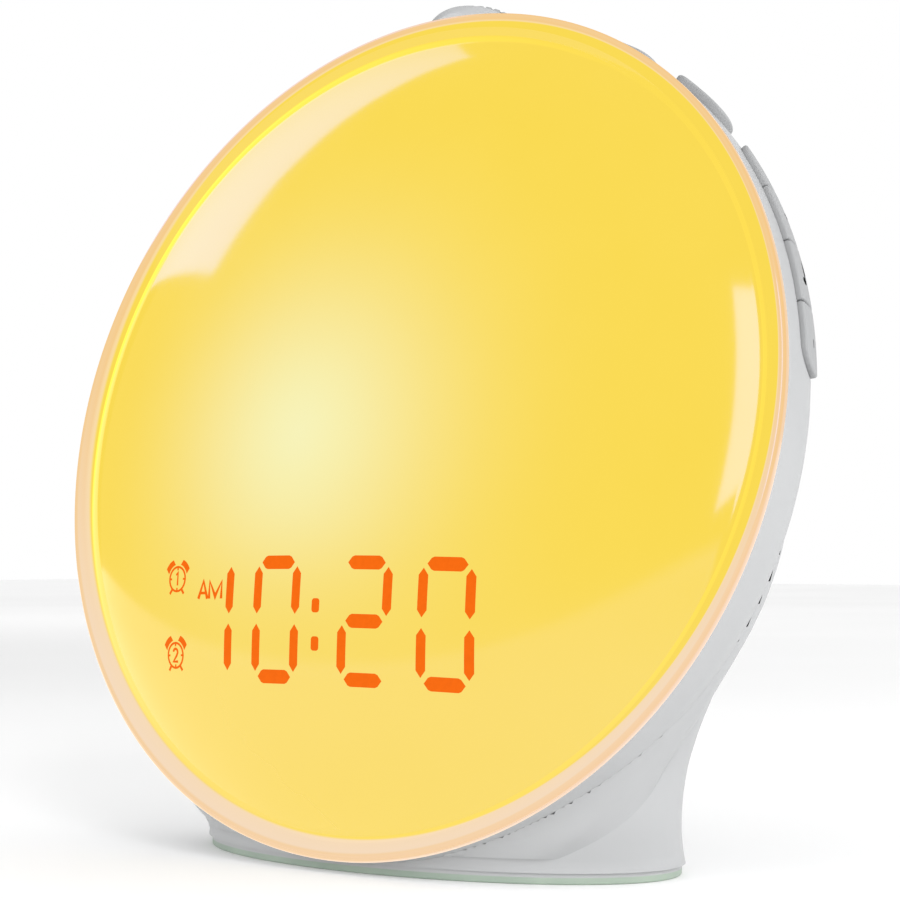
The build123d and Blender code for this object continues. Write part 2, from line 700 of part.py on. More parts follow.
jack_y0, jack_y1 = 10.8, 24.9
with BuildPart() as dc_jack_body:
    with BuildSketch(Plane.XZ.offset(-jack_y0)):
        with Locations((0, jack_z)):
            RectangleRounded(9.0, 11.0, 0.8)
    extrude(amount=-(jack_y1 - jack_y0))
    with BuildSketch(Plane.XZ.offset(-jack_y0 - 3)):
        with Locations((0, jack_z)):
            Circle(3.15)
    extrude(amount=-(jack_y1 - jack_y0), mode=Mode.SUBTRACT)
dc_jack_body.part.label = "dc_jack_body"
export_step(dc_jack_body.part, "parts/dc_jack_body.step")
with BuildPart() as dc_jack_pin:
    with BuildSketch(Plane.XZ.offset(-jack_y0 - 3)):
        with Locations((0, jack_z)):
            Circle(1.05)
    extrude(amount=-9.5)
    fillet(dc_jack_pin.edges().sort_by(Axis.Y)[-1], 0.5)
dc_jack_pin.part.label = "dc_jack_pin"
export_step(dc_jack_pin.part, "parts/dc_jack_pin.step")

# ---------------------------------------------------------------- back-up cell
hold_y = 22.0
with BuildPart() as battery_holder:
    with BuildSketch(Plane.XZ.offset(-hold_y)):
        with Locations((door_x, door_z0)):
            RectangleRounded(40, 28, 3)
    extrude(amount=7.6)
    with BuildSketch(Plane.XZ.offset(-hold_y)):
        with Locations((door_x, door_z0)):
            Circle(10.4)
            with Locations((0, 9)):
                RectangleRounded(9, 7, 1.5)
    extrude(amount=5.6, mode=Mode.SUBTRACT)
battery_holder.part.label = "battery_holder"
export_step(battery_holder.part, "parts/battery_holder.step")
with BuildPart() as battery_contacts:
    with BuildSketch(Plane.XZ.offset(-hold_y + 5.6)):
        with Locations((door_x, door_z0)):
            RectangleRounded(6, 14, 1)
    extrude(amount=-0.4)
    with BuildSketch(Plane.XZ.offset(-hold_y)):
        with Locations((door_x - 12.2, door_z0), (door_x + 12.2, door_z0)):
            Rectangle(3.0, 8)
    extrude(amount=-0.3)
battery_contacts.part.label = "battery_contacts"
export_step(battery_contacts.part, "parts/battery_contacts.step")
with BuildPart() as coin_cell:
    with BuildSketch(Plane.XZ.offset(-hold_y + 5.0)):
        with Locations((door_x, door_z0)):
            Circle(10.0)
    extrude(amount=-3.2)
    fillet(coin_cell.edges().filter_by(GeomType.CIRCLE), 0.35)
coin_cell.part.label = "coin_cell"
export_step(coin_cell.part, "parts/coin_cell.step")

with BuildPart() as battery_door:
    with BuildSketch(Plane.XZ.offset(-16)):
        with Locations((door_x, door_z0)):
            RectangleRounded(door_w, door_h, 4)
    extrude(amount=-30)
    add(outer_form.part, mode=Mode.INTERSECT)
    add(inner_form.part, mode=Mode.SUBTRACT)
    with BuildSketch(Plane.XZ.offset(-22.2)):
        with Locations((door_x, door_z0)):
            RectangleRounded(31, 19, 3)
            RectangleRounded(28.6, 16.6, 2, mode=Mode.SUBTRACT)
    extrude(amount=-2.4)
    # thumb scoop
    with BuildSketch(Plane.XZ.offset(-24.6)):
        with Locations((door_x, door_z0 + 8.0)):
            SlotOverall(12, 4)
    extrude(amount=-6, taper=-20, mode=Mode.SUBTRACT)
battery_door.part.label = "battery_door"
export_step(battery_door.part, "parts/battery_door.step")
print("door", len(battery_door.part.solids()), battery_door.part.is_valid, battery_door.part.volume)
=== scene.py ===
import bpy, bmesh, json, math
import numpy as np
from mathutils import Vector
from mathutils.bvhtree import BVHTree
from math import sin, cos, radians, sqrt, pi, hypot, atan2
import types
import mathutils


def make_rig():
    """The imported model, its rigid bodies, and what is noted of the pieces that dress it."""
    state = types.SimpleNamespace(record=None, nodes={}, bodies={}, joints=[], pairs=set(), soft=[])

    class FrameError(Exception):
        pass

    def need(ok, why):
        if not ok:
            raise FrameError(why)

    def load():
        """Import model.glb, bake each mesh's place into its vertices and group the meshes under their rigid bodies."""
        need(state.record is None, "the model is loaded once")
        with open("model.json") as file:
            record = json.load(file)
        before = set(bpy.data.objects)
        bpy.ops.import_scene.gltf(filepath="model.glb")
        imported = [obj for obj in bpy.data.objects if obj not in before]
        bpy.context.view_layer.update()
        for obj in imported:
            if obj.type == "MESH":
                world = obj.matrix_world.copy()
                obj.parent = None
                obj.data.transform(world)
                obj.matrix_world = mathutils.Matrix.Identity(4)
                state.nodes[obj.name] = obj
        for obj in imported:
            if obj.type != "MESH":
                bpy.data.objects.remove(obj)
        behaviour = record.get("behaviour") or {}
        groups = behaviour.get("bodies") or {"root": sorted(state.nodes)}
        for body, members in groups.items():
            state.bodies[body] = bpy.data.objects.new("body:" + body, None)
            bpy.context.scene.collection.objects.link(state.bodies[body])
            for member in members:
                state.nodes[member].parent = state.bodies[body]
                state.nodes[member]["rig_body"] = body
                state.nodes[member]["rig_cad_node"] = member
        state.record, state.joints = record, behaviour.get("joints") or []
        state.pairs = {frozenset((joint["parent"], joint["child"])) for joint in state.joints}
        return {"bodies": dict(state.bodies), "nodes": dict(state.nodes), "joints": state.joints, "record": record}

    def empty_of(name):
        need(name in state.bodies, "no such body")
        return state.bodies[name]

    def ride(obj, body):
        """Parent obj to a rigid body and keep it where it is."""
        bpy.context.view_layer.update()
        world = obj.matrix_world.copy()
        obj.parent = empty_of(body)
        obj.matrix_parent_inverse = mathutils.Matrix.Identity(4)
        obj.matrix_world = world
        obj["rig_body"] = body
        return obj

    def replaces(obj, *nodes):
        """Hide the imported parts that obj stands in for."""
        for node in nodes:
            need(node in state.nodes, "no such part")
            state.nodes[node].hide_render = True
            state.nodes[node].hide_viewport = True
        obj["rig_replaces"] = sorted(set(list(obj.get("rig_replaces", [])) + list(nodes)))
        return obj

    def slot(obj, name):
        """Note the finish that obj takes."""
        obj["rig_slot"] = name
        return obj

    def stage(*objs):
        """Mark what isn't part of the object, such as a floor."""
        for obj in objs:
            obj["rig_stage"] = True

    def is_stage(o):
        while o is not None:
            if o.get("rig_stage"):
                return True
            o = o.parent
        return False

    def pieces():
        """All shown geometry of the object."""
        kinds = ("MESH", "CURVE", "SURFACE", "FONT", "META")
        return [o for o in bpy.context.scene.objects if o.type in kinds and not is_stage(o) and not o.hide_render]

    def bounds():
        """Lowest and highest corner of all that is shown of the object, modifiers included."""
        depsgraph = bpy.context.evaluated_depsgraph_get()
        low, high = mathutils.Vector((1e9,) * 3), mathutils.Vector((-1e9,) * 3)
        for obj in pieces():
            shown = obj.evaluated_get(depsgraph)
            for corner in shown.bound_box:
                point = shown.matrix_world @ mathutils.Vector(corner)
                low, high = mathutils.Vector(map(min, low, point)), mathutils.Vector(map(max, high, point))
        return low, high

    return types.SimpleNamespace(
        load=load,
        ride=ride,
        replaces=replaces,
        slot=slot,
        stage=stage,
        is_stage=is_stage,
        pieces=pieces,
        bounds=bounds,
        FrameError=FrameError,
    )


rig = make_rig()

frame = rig.load()
cad_lo, cad_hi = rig.bounds()
nodes = frame["nodes"]
scene = bpy.context.scene
scene.view_settings.view_transform = "Standard"
scene.view_settings.look = "None"
scene.view_settings.exposure = 0.0
scene.view_settings.gamma = 1.0
MM = 0.001

# ------------------------------------------------------------------ camera
az, el = radians(36.03), radians(-2.74)
back = Vector((sin(az) * cos(el), -cos(az) * cos(el), sin(el)))
cam = bpy.data.objects.new("camera", bpy.data.cameras.new("camera"))
scene.collection.objects.link(cam)
cam.data.sensor_width = 36.0
cam.data.lens = 88.30
cam.data.clip_start, cam.data.clip_end = 0.01, 50
cam.location = (0.27383, -0.37138, 0.06226)
cam.rotation_mode = "QUATERNION"
cam.rotation_quaternion = (-back).to_track_quat("-Z", "Y")
scene.camera = cam

# ------------------------------------------------------------------ face frame, mm
LEAN = radians(12.4)
C0 = Vector((0, -15.7, 89.9))
OUT = Vector((0, -cos(LEAN), sin(LEAN)))
UP = Vector((0, sin(LEAN), cos(LEAN)))
RT = Vector((1, 0, 0))


def P(x, y, h):
    """Face coordinates in mm (right, up, outward) to the row frame in metres."""
    return (C0 + RT * x + UP * y + OUT * h) * MM


def dome(r):
    return 16.4 - r * r / 595.6 - 5.65 * (r / 84.0) ** 8


def shell_at(d, grow=0.0):
    if d <= 8.0:
        return 88.6 + grow
    return (88.6 + grow) * sqrt(max(0.0, 1 - ((d - 8.0) / (36.0 + grow)) ** 2))


# ------------------------------------------------------------------ materials
def srgb(r, g, b):
    f = lambda v: v / 12.92 if v <= 0.04045 else ((v + 0.055) / 1.055) ** 2.4
    return (f(r / 255), f(g / 255), f(b / 255), 1.0)


class Nodes:
    def __init__(self, name):
        self.mat = bpy.data.materials.new(name)
        self.mat.use_nodes = True
        self.t = self.mat.node_tree
        self.t.nodes.clear()
        self.out = self.t.nodes.new("ShaderNodeOutputMaterial")
        self.b = self.t.nodes.new("ShaderNodeBsdfPrincipled")
        self.t.links.new(self.b.outputs[0], self.out.inputs[0])
        self.co = self.t.nodes.new("ShaderNodeTexCoord").outputs["Object"]

    def n(self, kind, **k):
        node = self.t.nodes.new(kind)
        for a, v in k.items():
            setattr(node, a, v)
        return node

    def link(self, a, b):
        self.t.links.new(a, b)

    def noise(self, scale, detail=4.0, rough=0.55, at=None):
        x = self.n("ShaderNodeTexNoise")
        x.inputs["Scale"].default_value = scale
        x.inputs["Detail"].default_value = detail
        x.inputs["Roughness"].default_value = rough
        self.link(at or self.co, x.inputs["Vector"])
        return x.outputs["Fac"]

    def span(self, v, a, b, c, d, smooth=False):
        x = self.n("ShaderNodeMapRange")
        if smooth:
            x.interpolation_type = "SMOOTHSTEP"
        for i, q in enumerate((a, b, c, d)):
            x.inputs[i + 1].default_value = q
        self.link(v, x.inputs[0])
        return x.outputs[0]

    def math(self, op, a, b=None, c=None):
        x = self.n("ShaderNodeMath", operation=op)
        for i, q in enumerate((a, b, c)):
            if q is None:
                continue
            if isinstance(q, (int, float)):
                x.inputs[i].default_value = q
            else:
                self.link(q, x.inputs[i])
        return x.outputs[0]

    def dot(self, v, offset):
        """Component along v of the point minus offset, in metres."""
        s = self.n("ShaderNodeVectorMath", operation="SUBTRACT")
        self.link(self.co, s.inputs[0])
        s.inputs[1].default_value = offset
        d = self.n("ShaderNodeVectorMath", operation="DOT_PRODUCT")
        self.link(s.outputs[0], d.inputs[0])
        d.inputs[1].default_value = v
        return d.outputs["Value"]

    def ramp(self, fac, stops, interp="LINEAR"):
        x = self.n("ShaderNodeValToRGB")
        x.color_ramp.interpolation = interp
        e = x.color_ramp.elements
        while len(e) < len(stops):
            e.new(0.5)
        for i, (p, c) in enumerate(stops):
            e[i].position = p
            e[i].color = c
        self.link(fac, x.inputs[0])
        return x.outputs[0]

    def mix(self, fac, a, b):
        x = self.n("ShaderNodeMix", data_type="RGBA")
        for i, q in ((0, fac), (6, a), (7, b)):
            if isinstance(q, (int, float)):
                x.inputs[i].default_value = q
            elif isinstance(q, tuple):
                x.inputs[i].default_value = q
            else:
                self.link(q, x.inputs[i])
        return x.outputs[2]

    def bump(self, height, strength, dist=0.0001):
        x = self.n("ShaderNodeBump")
        x.inputs["Strength"].default_value = strength
        x.inputs["Distance"].default_value = dist
        self.link(height, x.inputs["Height"])
        self.link(x.outputs[0], self.b.inputs["Normal"])


def plastic(name, col, rough=0.45, grain=2200, bump=0.12, vary=0.035, metallic=0.0, spec=0.5, dist=0.00006):
    """Moulded or cast finish: fine grain in the height, soft drift in colour and gloss."""
    m = Nodes(name)
    b = m.b
    drift = m.noise(38, 3)
    fine = m.noise(grain, 3, 0.6)
    lo = tuple(max(0, c * (1 - vary)) for c in col[:3]) + (1,)
    hi = tuple(min(1, c * (1 + vary)) for c in col[:3]) + (1,)
    m.link(m.mix(m.span(drift, 0.3, 0.7, 0, 1), lo, hi), b.inputs["Base Color"])
    r = m.math("ADD", m.span(drift, 0.3, 0.7, rough - 0.035, rough + 0.035), m.span(fine, 0.3, 0.7, -0.03, 0.03))
    m.link(r, b.inputs["Roughness"])
    b.inputs["Metallic"].default_value = metallic
    b.inputs["Specular IOR Level"].default_value = spec
    m.bump(fine, bump, dist)
    return m.mat


GREY = srgb(176, 177, 178)
mats = {
    "housing": plastic("housing_plastic", GREY, 0.42, 2600, 0.012, 0.02),
    "keys": plastic("key_plastic", srgb(160, 161, 162), 0.55, 420, 0.0, 0.02, 0.0, 0.3),
    "white_inner": plastic("white_plastic", srgb(232, 232, 228), 0.4, 1800, 0.1),
    "board": plastic("circuit_board", (0.03, 0.13, 0.06, 1), 0.35, 900, 0.25, 0.25),
    "screw_steel": plastic("zinc_steel", (0.55, 0.55, 0.56, 1), 0.32, 1500, 0.15, 0.08, 1.0),
    "shroud": plastic("shroud_plastic", srgb(224, 214, 190), 0.55, 1500, 0.15),
    "readout_black": plastic("black_plastic", (0.02, 0.02, 0.021, 1), 0.45, 1700, 0.15, 0.15),
    "speaker_paper": plastic("cone_paper", (0.03, 0.03, 0.03, 1), 0.85, 600, 0.6, 0.3),
    "magnet": plastic("ferrite", (0.06, 0.06, 0.062, 1), 0.6, 900, 0.3, 0.2),
    "contacts": plastic("sprung_brass", (0.72, 0.55, 0.25, 1), 0.28, 1600, 0.12, 0.08, 1.0),
    "seal": plastic("foam", srgb(214, 212, 205), 0.9, 1100, 0.7, 0.1),
}


def glow(name, col, strength, base, rough=0.2):
    m = Nodes(name)
    cell = m.noise(900, 2)
    m.link(m.mix(m.span(cell, 0.3, 0.7, 0, 1), tuple(c * 0.94 for c in col[:3]) + (1,), col), m.b.inputs["Emission Color"])
    m.b.inputs["Emission Strength"].default_value = strength
    m.link(m.mix(m.span(cell, 0.3, 0.7, 0, 1), tuple(c * 0.9 for c in base[:3]) + (1,), base), m.b.inputs["Base Color"])
    m.link(m.span(cell, 0.3, 0.7, rough - 0.03, rough + 0.03), m.b.inputs["Roughness"])
    m.bump(cell, 0.03, 0.00002)
    return m.mat


mats["led_chip"] = glow("led_phosphor", (1.0, 0.8, 0.35, 1), 1.2, (0.6, 0.5, 0.15, 1), 0.4)
mats["segments"] = glow("orange_segment", (0.955, 0.152, 0.006, 1), 1.0, (0.01, 0.002, 0.0, 1), 0.3)
mats["segments"].node_tree.nodes["Principled BSDF"].inputs["Specular IOR Level"].default_value = 0.02

# pad: green-grey, slightly see-through edge; above 1.25–1.40 mm it takes the housing grey
m = Nodes("pad_rubber")
d1, d2 = m.noise(60, 3), m.noise(1800, 3)
pad_top_grey_z = m.n("ShaderNodeSeparateXYZ")
m.link(m.n("ShaderNodeNewGeometry").outputs["Position"], pad_top_grey_z.inputs[0])
m.link(m.mix(m.span(pad_top_grey_z.outputs[2], 0.00125, 0.00140, 0, 1), m.mix(m.span(d1, 0.3, 0.7, 0, 1), srgb(150, 165, 152), srgb(164, 178, 164)), GREY), m.b.inputs["Base Color"])
m.link(m.span(d2, 0.3, 0.7, 0.42, 0.56), m.b.inputs["Roughness"])
m.b.inputs["Subsurface Weight"].default_value = 0.15
m.b.inputs["Subsurface Radius"].default_value = (0.002, 0.003, 0.002)
m.bump(d2, 0.12, 0.00006)
mats["pad"] = m.mat

# diffuser: milky acrylic with the lamp behind it, its colour set by the place on the dome; a painted highlight, a
# painted floor reflection and painted highlight bands on the bead are part of that colour
m = Nodes("lit_diffuser_painted_highlights")
c0 = tuple(C0 * MM)
fx, fy = m.dot(tuple(RT), c0), m.dot(tuple(UP), c0)
rr = m.math("SQRT", m.math("ADD", m.math("MULTIPLY", fx, fx), m.math("MULTIPLY", fy, fy)))
# the lamp's glow, brightest around a point left of and below the centre: that bright spot is a painted highlight, a
# broad softbox reflection painted into the glow
highlight_dx = m.math("SUBTRACT", fx, -0.0094)
highlight_dy = m.math("SUBTRACT", fy, -0.0063)
highlight_dist = m.math("SQRT", m.math("ADD", m.math("MULTIPLY", highlight_dx, highlight_dx), m.math("MULTIPLY", highlight_dy, highlight_dy)))
GLOW_AND_PAINTED_HIGHLIGHT = [
    (0.00, (0.905, 0.878, 0.490, 1)),
    (0.12, (0.908, 0.860, 0.436, 1)),
    (0.26, (0.915, 0.804, 0.335, 1)),
    (0.42, (0.920, 0.748, 0.222, 1)),
    (0.60, (0.924, 0.706, 0.128, 1)),
    (0.80, (0.928, 0.686, 0.084, 1)),
    (1.00, (0.928, 0.684, 0.074, 1)),
]
glow_and_painted_light = m.ramp(m.math("DIVIDE", highlight_dist, 0.075), GLOW_AND_PAINTED_HIGHLIGHT, "B_SPLINE")
# paler towards the bottom: a painted reflection of the floor in the lower dome
low = m.span(fy, -0.022, -0.060, 0, 1, True)
glow_and_painted_light = m.mix(m.math("MULTIPLY", low, 0.75), glow_and_painted_light, (0.930, 0.697, 0.132, 1))
mottle = m.noise(55, 2)
glow_and_painted_light = m.mix(m.span(mottle, 0.2, 0.8, 0.0, 0.05), glow_and_painted_light, (0.92, 0.73, 0.19, 1))
# the bead's glow with painted highlight bands on it, a painted floor reflection in pink lower down and a painted pale
# line at the outer edge, with a narrower band on the upper right
lop = m.math("DIVIDE", m.math("ADD", m.math("MULTIPLY", fx, 0.7071), m.math("MULTIPLY", fy, 0.7071)), rr)
r0 = m.math("ADD", 0.0856, m.math("MULTIPLY", lop, 0.0015))
east = m.math("MAXIMUM", m.math("DIVIDE", fx, rr), 0.0)
r0 = m.math("ADD", r0, m.math("MULTIPLY", m.math("MULTIPLY", east, east), 0.0010))
t_rim = m.math("DIVIDE", m.math("SUBTRACT", rr, r0), m.math("SUBTRACT", 0.0890, r0))
bead_top_glow_and_painted_highlights = m.ramp(t_rim, [
    (0.00, (0.930, 0.700, 0.300, 1)),
    (0.10, (0.930, 0.690, 0.350, 1)),
    (0.24, (0.890, 0.580, 0.250, 1)),
    (0.60, (0.885, 0.600, 0.290, 1)),
    (0.92, (0.885, 0.560, 0.240, 1)),
    (1.00, (0.900, 0.640, 0.420, 1)),
])
bead_low_glow_and_painted_reflection = m.ramp(t_rim, [
    (0.00, (0.920, 0.690, 0.360, 1)),
    (0.08, (0.900, 0.690, 0.470, 1)),
    (0.60, (0.890, 0.690, 0.500, 1)),
    (0.70, (0.885, 0.620, 0.360, 1)),
    (0.94, (0.885, 0.600, 0.330, 1)),
    (1.00, (0.900, 0.660, 0.480, 1)),
])
bead_glow_and_painted_light = m.mix(m.span(fy, 0.035, -0.060, 0, 1, True), bead_top_glow_and_painted_highlights, bead_low_glow_and_painted_reflection)
m.link(m.mix(m.span(t_rim, -0.06, 0.06, 0, 1, True), glow_and_painted_light, bead_glow_and_painted_light), m.b.inputs["Emission Color"])
m.b.inputs["Emission Strength"].default_value = 1.0
m.link(m.mix(m.span(mottle, 0.3, 0.7, 0, 1), (0.018, 0.012, 0.004, 1), (0.022, 0.015, 0.005, 1)), m.b.inputs["Base Color"])
fine = m.noise(1400, 2)
m.link(m.span(fine, 0.3, 0.7, 0.085, 0.115), m.b.inputs["Roughness"])
m.b.inputs["IOR"].default_value = 1.49
m.b.inputs["Specular Tint"].default_value = (0.22, 0.35, 1.0, 1)
m.bump(m.noise(120, 1), 0.02, 0.0001)
mats["diffuser"] = m.mat

ink = plastic("key_ink", (0.012, 0.012, 0.012, 1), 0.5, 2500, 0.1, 0.2)
soft_ink = plastic("key_ink_soft", (0.12, 0.12, 0.125, 1), 0.5, 2500, 0.1, 0.2)

slot_of = {s["node"]: s["material_slot"] for s in frame["record"]["subparts"]}
for name, o in nodes.items():
    o.data.materials.clear()
    o.data.materials.append(mats[slot_of[name]])
    me = o.data
    me.polygons.foreach_set("use_smooth", [True] * len(me.polygons))
    if me.has_custom_normals:
        with bpy.context.temp_override(object=o, active_object=o, selected_objects=[o]):
            try:
                bpy.ops.mesh.customdata_custom_splitnormals_clear()
            except RuntimeError:
                pass
    w = o.modifiers.new("weld", "WELD")
    w.merge_threshold = 0.000004
    e = o.modifiers.new("edges", "EDGE_SPLIT")
    e.split_angle = radians(28)


# ------------------------------------------------------------------ helpers
def put(name, bm, mat, body="clock", slot=None, sharp=30):
    me = bpy.data.meshes.new(name)
    bm.normal_update()
    bm.to_mesh(me)
    bm.free()
    me.polygons.foreach_set("use_smooth", [True] * len(me.polygons))
    me.set_sharp_from_angle(angle=radians(sharp))
    me.materials.append(mat)
    o = bpy.data.objects.new(name, me)
    scene.collection.objects.link(o)
    if body:
        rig.ride(o, body)
        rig.slot(o, slot)
    return o


# ------------------------------------------------------------------ diffuser
prof = [(float(r), dome(float(r))) for r in list(np.arange(0, 60, 2.0)) + list(np.arange(60, 84.01, 1.0))]
prof += [(84.06, -1.12), (84.12, -1.08), (85.35, -0.17), (85.6, -0.03), (85.9, 0.0), (87.7, 0.0)]
prof += [(87.7 + 1.3 * sin(a), -1.3 + 1.3 * cos(a)) for a in np.linspace(0, pi / 2, 9)[1:]]
prof += [(89.0, -1.9), (88.9, -2.1), (88.7, -2.2), (86.1, -2.2), (86.1, -5.0), (84.6, -5.0), (84.6, -3.6), (82.6, -3.2)]
inner = [(r * 82.6 / 84.0, dome(r) - 2.0) for r in np.arange(82, -0.1, -4.0)]
prof += [(float(r), float(h)) for r, h in inner]
N = 288
bm = bmesh.new()
rings = []
for r, h in prof:
    if r < 1e-6:
        rings.append([bm.verts.new(P(0, 0, h))])
    else:
        rings.append([bm.verts.new(P(r * sin(2 * pi * i / N), r * cos(2 * pi * i / N), h)) for i in range(N)])
for a, b in zip(rings, rings[1:]):
    for i in range(N):
        j = (i + 1) % N
        if len(a) == 1:
            bm.faces.new((a[0], b[j], b[i]))
        elif len(b) == 1:
            bm.faces.new((a[i], a[j], b[0]))
        else:
            bm.faces.new((a[i], a[j], b[j], b[i]))
bmesh.ops.recalc_face_normals(bm, faces=bm.faces)
lens = put("diffuser_lens", bm, mats["diffuser"], "clock", "diffuser", 34)
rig.replaces(lens, "front_lens")
lens.visible_diffuse = False


# ------------------------------------------------------------------ marks on the dome
def solid_flat(polys, mapper, thick=0.05, cell=1.0):
    """Thin plates from 2-D outlines, cut into small cells so that they follow the curve."""
    bm = bmesh.new()
    for poly in polys:
        area = sum(poly[i][0] * poly[(i + 1) % len(poly)][1] - poly[(i + 1) % len(poly)][0] * poly[i][1] for i in range(len(poly)))
        pts = poly if area > 0 else poly[::-1]
        b2 = bmesh.new()
        f = b2.faces.new([b2.verts.new((x, y, 0)) for x, y in pts])
        bmesh.ops.triangulate(b2, faces=[f])
        xs, ys = [p[0] for p in pts], [p[1] for p in pts]
        for lo, hi, no in ((min(xs), max(xs), (1, 0, 0)), (min(ys), max(ys), (0, 1, 0))):
            k = int((hi - lo) / cell)
            for i in range(1, k + 1):
                q = lo + (hi - lo) * i / (k + 1)
                bmesh.ops.bisect_plane(b2, geom=b2.verts[:] + b2.edges[:] + b2.faces[:], plane_co=(q * no[0], q * no[1], 0), plane_no=no)
        top = {v: bm.verts.new((v.co.x, v.co.y, thick)) for v in b2.verts}
        for f in b2.faces:
            bm.faces.new([top[v] for v in f.verts])
        edge = [e for e in b2.edges if len(e.link_faces) == 1]
        low = {}
        for e in edge:
            l = e.link_loops[0]
            a, b = l.vert, l.link_loop_next.vert
            for v in (a, b):
                if v not in low:
                    low[v] = bm.verts.new((v.co.x, v.co.y, -0.25))
            bm.faces.new((top[a], low[a], low[b], top[b]))
        b2.free()
    for v in bm.verts:
        v.co = mapper(v.co.x, v.co.y, v.co.z)
    return bm


def on_dome(x, y, z):
    r = hypot(x, y)
    return P(x, y, dome(r) + z)


def stroke(pts, w, closed=False):
    """A line of width w along 2-D points, as quads."""
    n = len(pts)
    segs = range(n) if closed else range(n - 1)
    nrm = []
    for i in segs:
        (x0, y0), (x1, y1) = pts[i], pts[(i + 1) % n]
        l = hypot(x1 - x0, y1 - y0)
        nrm.append((-(y1 - y0) / l, (x1 - x0) / l))
    off = []
    for i in range(n):
        a = nrm[i - 1] if (closed or i > 0) else nrm[0]
        b = nrm[i % len(nrm)] if (closed or i < n - 1) else nrm[-1]
        sx, sy = a[0] + b[0], a[1] + b[1]
        k = (sx * sx + sy * sy) / 2
        k = max(k, 0.5)
        off.append((sx / k * w / 2, sy / k * w / 2))
    out = []
    for i in segs:
        j = (i + 1) % n
        out.append([(pts[i][0] + off[i][0], pts[i][1] + off[i][1]), (pts[i][0] - off[i][0], pts[i][1] - off[i][1]),
                    (pts[j][0] - off[j][0], pts[j][1] - off[j][1]), (pts[j][0] + off[j][0], pts[j][1] + off[j][1])])
    return out


def arc(cx, cy, r, a0, a1, n=20, ry=None):
    return [(cx + r * sin(radians(a0 + (a1 - a0) * i / n)), cy + (ry or r) * cos(radians(a0 + (a1 - a0) * i / n))) for i in range(n + 1)]


VW, HW = 1.05, 1.34


def upright(x, y0, y1):
    return [(x, y0), (x - VW * 0.45, y0 - 0.62), (x - VW, y0 - 1.35), (x - VW, y1 + 1.35), (x - VW * 0.45, y1 + 0.62), (x, y1),
            (x + VW * 0.45, y1 + 0.62), (x + VW, y1 + 1.35), (x + VW, y0 - 1.35), (x + VW * 0.45, y0 - 0.62)]


def level(x0, x1, y):
    return [(x0, y), (x0 + 0.9, y - HW + 0.25), (x0 + 1.5, y - HW), (x1 - 1.5, y - HW), (x1 - 0.9, y - HW + 0.25), (x1, y),
            (x1 - 0.9, y + HW - 0.25), (x1 - 1.5, y + HW), (x0 + 1.5, y + HW), (x0 + 0.9, y + HW - 0.25)]


def pill(cx, cy, w, h, r):
    p = []
    for sx, sy, a in ((1, 1, 0), (1, -1, 90), (-1, -1, 180), (-1, 1, 270)):
        for i in range(5):
            t = radians(a + 90 * i / 4)
            p.append((cx + sx * (w / 2 - r) + r * sin(t), cy + sy * (h / 2 - r) + r * cos(t)))
    return p


digits = []
for x in (-24.65, -16.7, -6.5, 23.9, 34.3):
    digits += [upright(x, -33.6, -42.9), upright(x, -44.9, -54.1)]
digits += [upright(15.9, -33.6, -42.9), upright(5.5, -44.9, -54.1)]
for x0, x1 in ((-16.7, -6.5), (5.5, 15.9), (23.9, 34.3)):
    digits += [level(x0 + 0.75, x1 - 0.75, -32.8), level(x0 + 0.75, x1 - 0.75, -55.1)]
digits.append(level(6.3, 15.1, -44.0))
digits += [pill(-1.29, -41.18, 1.9, 2.75, 0.6), pill(-1.12, -48.52, 1.9, 2.75, 0.6)]
seg = put("readout_digits", solid_flat(digits, on_dome, 0.04, 1.6), mats["segments"], "clock", "segments")
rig.replaces(seg, "display_segments")

marks = stroke([(-34.0, -39.9), (-32.65, -36.35), (-31.3, -39.9)], 0.74) + stroke([(-33.5, -38.75), (-31.8, -38.75)], 0.55)
marks += stroke([(-30.75, -39.9), (-30.75, -36.4), (-28.95, -39.5), (-27.15, -36.4), (-27.15, -39.9)], 0.74)
for cx, cy, num in ((-41.05, -35.75, 1), (-40.95, -51.2, 2)):
    marks += stroke(arc(cx, cy, 2.5, 0, 345, 23, 2.5), 0.44, True)
    for s in (1, -1):
        bell = arc(cx, cy, 3.05, s * 16, s * 70, 8) + arc(cx + s * 0.3, cy + 0.3, 3.85, s * 62, s * 20, 8)
        marks.append(bell)
        marks += stroke([(cx + s * 1.55, cy - 2.15), (cx + s * 2.25, cy - 3.0)], 0.55)
    for a in (0, 90, 180, 270):
        t = radians(a)
        marks += stroke([(cx + 2.35 * sin(t), cy + 2.35 * cos(t)), (cx + 1.8 * sin(t), cy + 1.8 * cos(t))], 0.4)
    if num == 1:
        marks += stroke([(cx - 0.45, cy + 0.85), (cx + 0.1, cy + 1.3), (cx + 0.1, cy - 1.3)], 0.46)
    else:
        marks += stroke(arc(cx, cy + 0.6, 0.72, -80, 95, 8) + [(cx + 0.35, cy - 0.1), (cx - 0.72, cy - 1.25), (cx + 0.8, cy - 1.25)], 0.5)
put("readout_marks", solid_flat(marks, on_dome, 0.045, 1.2), mats["segments"], "clock", "segments")


# ------------------------------------------------------------------ marks on the keys
def on_key(phi0, d0):
    def f(x, y, z):
        # x: towards the back, y: up the strip
        d = d0 + x
        r = shell_at(d, 1.2) + z
        a = radians(phi0) - y / 89.0
        return P(r * sin(a), r * cos(a), -d)
    return f


